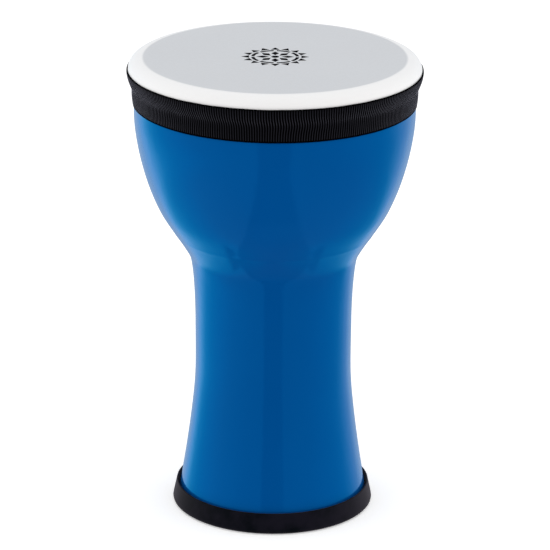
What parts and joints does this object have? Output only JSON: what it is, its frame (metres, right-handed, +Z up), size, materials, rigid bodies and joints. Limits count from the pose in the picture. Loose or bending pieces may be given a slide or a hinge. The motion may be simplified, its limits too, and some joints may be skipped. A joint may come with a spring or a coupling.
{
  "type": "djembe",
  "caption": "Small goblet hand drum: glossy one-piece plastic shell, factory-tensioned film head with a white rim, ribbed black trim band and a black rubber foot ring.",
  "frame": {"origin": "centre of the foot ring's flat underside, on the drum's axis", "axes": "+Z up along the drum's axis from the foot to the playing head; +Y towards the join in the trim band, -Y is the front, with the join behind it"},
  "size_m": [0.2022, 0.2022, 0.3225],
  "materials": {
    "shell_plastic": "glossy moulded ABS",
    "rubber": "satin black rubber",
    "white_plastic": "matte white moulded plastic",
    "hoop_plastic": "matte moulded plastic, hidden",
    "head_film": "frosted translucent film, coated for grip",
    "print_ink": "matte black screen print on the head",
    "tape": "double-sided tape, hidden",
    "webbing": "ribbed black elastic webbing",
    "thread": "black polyester sewing thread"
  },
  "bodies": {
    "root": {"shell": "shell_plastic", "foot_ring": "rubber", "bearing_ring": "white_plastic", "head_hoop": "hoop_plastic", "drumhead": "head_film", "skirt_tape": "tape", "trim_band": "webbing", "band_stitching": "thread"}
  },
  "joints": []
}
